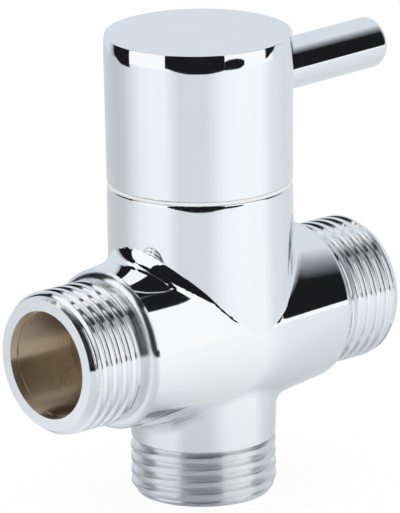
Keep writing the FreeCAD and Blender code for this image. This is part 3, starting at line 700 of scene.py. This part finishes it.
def mixed(tree, factor, first, second):
    """Two shaders mixed by a factor, a number or an output."""
    node = tree.nodes.new("ShaderNodeMixShader")
    feed(tree, factor, node.inputs[0])
    for number, shader in enumerate((first, second)):
        tree.links.new(shader.outputs[0], node.inputs[1 + number])
    return node


def set_surface(tree, shader):
    """Makes a shader the material's surface."""
    tree.links.new(shader.outputs[0], tree.nodes["Material Output"].inputs["Surface"])


def matt(shader):
    """Takes the gloss off a stage paint."""
    shader.inputs["Roughness"].default_value = STAGE_ROUGHNESS
    shader.inputs["Specular IOR Level"].default_value = 0.0


def flat_material(name, colour):
    """Plain stage paint with a slight mottle."""
    material, tree, shader = new_tree(name)
    mottle = noise(tree, surface_place(tree), MOTTLE_PER_MM)
    dark = [c * MOTTLE_DARK for c in colour]
    tree.links.new(shaded(tree, mottle, dark, colour), shader.inputs["Base Color"])
    matt(shader)
    return material, tree, shader


def cover_of(tree):
    """How much a panel covers at each point."""
    cover = tree.nodes.new("ShaderNodeAttribute")
    cover.attribute_name = "cover"
    return cover.outputs["Fac"]


def stage_object(name, points, faces, material):
    """A stage mesh that is no part of the object."""
    mesh = bpy.data.meshes.new(name)
    mesh.from_pydata(in_metres(points), [], faces)
    mesh.materials.append(material)
    obj = bpy.data.objects.new(name, mesh)
    bpy.context.scene.collection.objects.link(obj)
    return obj


def metal_only(obj, cover):
    """Leaves a stage object to be seen only in metal, as a painted reflection, and keeps it out of the
    camera's and the light's way.
    """
    obj.data.attributes.new("cover", "FLOAT", "POINT").data.foreach_set("value", cover)
    obj.visible_camera = False
    obj.visible_diffuse = False
    obj.visible_shadow = False


def stage_direction(degrees):
    """Unit vector on the table, an angle to the right of the camera as seen from the object."""
    angle = CAMERA_AZIMUTH - math.pi / 2 + math.radians(degrees)
    return math.cos(angle), math.sin(angle)


def panel(name, distance, straight, fades, outline, material):
    """An upright panel on the table, unseen by the camera, that fades out at its ends."""
    angles, feet, heads = zip(*outline)
    points = []
    cover = []
    for degrees in np.linspace(angles[0], angles[-1], PANEL_STEPS + 1):
        x, y = stage_direction(degrees)
        radius = distance / math.cos(math.radians(degrees)) if straight else distance
        for height in (np.interp(degrees, angles, feet), np.interp(degrees, angles, heads)):
            points.append((x * radius, y * radius, height))
        from_ends = (degrees - angles[0], angles[-1] - degrees)
        cover += [min([1] + [gap / fade for gap, fade in zip(from_ends, fades) if fade])] * 2
    faces = [(2 * n, 2 * n + 2, 2 * n + 3, 2 * n + 1) for n in range(PANEL_STEPS)]
    metal_only(stage_object(name, points, faces, material), cover)


def disc(name, directions, radius, height, material):
    """A level disc, or a part of one, with a corner in each direction."""
    rim = [(radius * x, radius * y, height) for x, y in directions]
    return stage_object(name, rim, [tuple(range(len(rim)))], material)


def painted_dark_material():
    """Painted dark reflection, as dark cloth seen only in metal, that thins out where the panel's cover does.
    """
    material, tree, shader = flat_material("painted_dark_reflection", PAINTED_DARK_COLOUR)
    clear = tree.nodes.new("ShaderNodeBsdfTransparent")
    set_surface(tree, mixed(tree, cover_of(tree), clear, shader))
    return material


def glowing(tree, shader, glow, light_path, most):
    """A surface whose glow stands for its light where the camera, metal or glass sees it."""
    camera_ray, glossy_ray, glass_ray = (
        light_path.outputs[f"Is {kind} Ray"] for kind in ("Camera", "Glossy", "Transmission"))
    seen = math_node(tree, "MAXIMUM", math_node(tree, "MAXIMUM", camera_ray, glossy_ray), glass_ray)
    set_surface(tree, mixed(tree, math_node(tree, "MULTIPLY", seen, most), shader, glow))


def paper_material():
    """Pale paper seen only in metal, glowing in its colour, with painted shade darkening it toward the end
    where its cover fades.
    """
    material, tree, shader = flat_material("pale_paper", PAPER_COLOUR)
    glow = tree.nodes.new("ShaderNodeEmission")
    tree.links.new(shaded(tree, cover_of(tree), PAPER_PAINTED_SHADE, PAPER_COLOUR), glow.inputs["Color"])
    glowing(tree, shader, glow, tree.nodes.new("ShaderNodeLightPath"), 1)
    return material


def painted_table_light(tree):
    """Painted light on the table as metal shows it: pools of light and dim by the angle from the camera."""
    source = tree.nodes.new("ShaderNodeTexCoord")
    turned = tree.nodes.new("ShaderNodeMapping")
    turned.inputs["Rotation"].default_value = (0, 0, math.pi / 2 - CAMERA_AZIMUTH)
    tree.links.new(source.outputs["Object"], turned.inputs["Vector"])
    sweep = tree.nodes.new("ShaderNodeTexGradient")
    sweep.gradient_type = "RADIAL"
    tree.links.new(turned.outputs["Vector"], sweep.inputs["Vector"])
    tones = tree.nodes.new("ShaderNodeValToRGB")
    elements = tones.color_ramp.elements
    for number, (degrees, tone) in enumerate(TABLE_TONES):
        position = 0.5 + degrees / 360
        element = elements[number] if number < 2 else elements.new(position)
        element.position = position
        element.color = (*[min(tone * tint, 1) for tint in TABLE_TINT], 1)
    tree.links.new(sweep.outputs["Fac"], tones.inputs["Fac"])
    return tones.outputs["Color"]


def table_material():
    """White table: paint under the light, white to the camera and, where metal shows it, toned by angle with
    painted pools of light and dim.
    """
    material, tree, shader = new_tree("table_white")
    shader.inputs["Base Color"].default_value = TABLE_PAINT
    matt(shader)
    tones = painted_table_light(tree)
    white = tree.nodes.new("ShaderNodeEmission")
    toned = tree.nodes.new("ShaderNodeEmission")
    paint = tree.nodes.new("ShaderNodeBsdfDiffuse")
    for surface in (toned, paint):
        tree.links.new(tones, surface.inputs["Color"])
    light_path = tree.nodes.new("ShaderNodeLightPath")
    # In metal: the paint lit by the world and coloured with the painted light pools, with a little of the
    # same as glow
    in_metal = mixed(tree, TABLE_SHADE, toned, paint)
    glow = mixed(tree, light_path.outputs["Is Glossy Ray"], white, in_metal)
    glowing(tree, shader, glow, light_path, TABLE_GLOW)
    return material


circle = [2 * math.pi * n / DISC_STEPS for n in range(DISC_STEPS)]
disc("table", [(math.cos(a), math.sin(a)) for a in circle], TABLE_RADIUS, -JOIN_STEP, table_material())
painted_dark_reflection = painted_dark_material()
# Dark ceiling and dark screens, seen only in metal: painted reflections of the dark room
arc = [stage_direction(degrees) for degrees in np.linspace(*CEILING_SWEEP, DISC_STEPS)]
metal_only(disc("ceiling", arc, CEILING_RADIUS, CEILING_HEIGHT, painted_dark_reflection), [1] * DISC_STEPS)
for name, screen in SCREENS.items():
    panel(name, *screen, painted_dark_reflection)
panel("backdrop", *BACKDROP, paper_material())

# Light: an even white world
world = bpy.data.worlds.new("studio")
bpy.context.scene.world = world
world.use_nodes = True
world.node_tree.nodes["Background"].inputs["Color"].default_value = WHITE
world.node_tree.nodes["Background"].inputs["Strength"].default_value = 1.0

# Camera at the photograph's viewing angle
back = Vector((
    math.sin(CAMERA_AZIMUTH) * math.cos(CAMERA_ELEVATION),
    -math.cos(CAMERA_AZIMUTH) * math.cos(CAMERA_ELEVATION),
    math.sin(CAMERA_ELEVATION),
))
level = Vector((math.cos(CAMERA_AZIMUTH), math.sin(CAMERA_AZIMUTH), 0))
upright = back.cross(level)
right = level * math.cos(CAMERA_ROLL) + upright * math.sin(CAMERA_ROLL)
up = back.cross(right)
pixel = CAMERA_DISTANCE / FOCAL_PIXELS
target = CAMERA_TARGET - right * (OFFSET_RIGHT_PIXELS * pixel) + up * (OFFSET_DOWN_PIXELS * pixel)
camera_data = bpy.data.cameras.new("camera")
camera_data.sensor_width = SENSOR
camera_data.lens = FOCAL_PIXELS * SENSOR / IMAGE_LONG_SIDE
camera_data.clip_end = CAMERA_REACH * MM
camera = bpy.data.objects.new("camera", camera_data)
bpy.context.scene.collection.objects.link(camera)
turn = Matrix((right, up, back)).transposed().to_4x4()
camera.matrix_world = Matrix.Translation((target + back * CAMERA_DISTANCE) * MM) @ turn
bpy.context.scene.camera = camera

bpy.context.scene.view_settings.view_transform = "Standard"
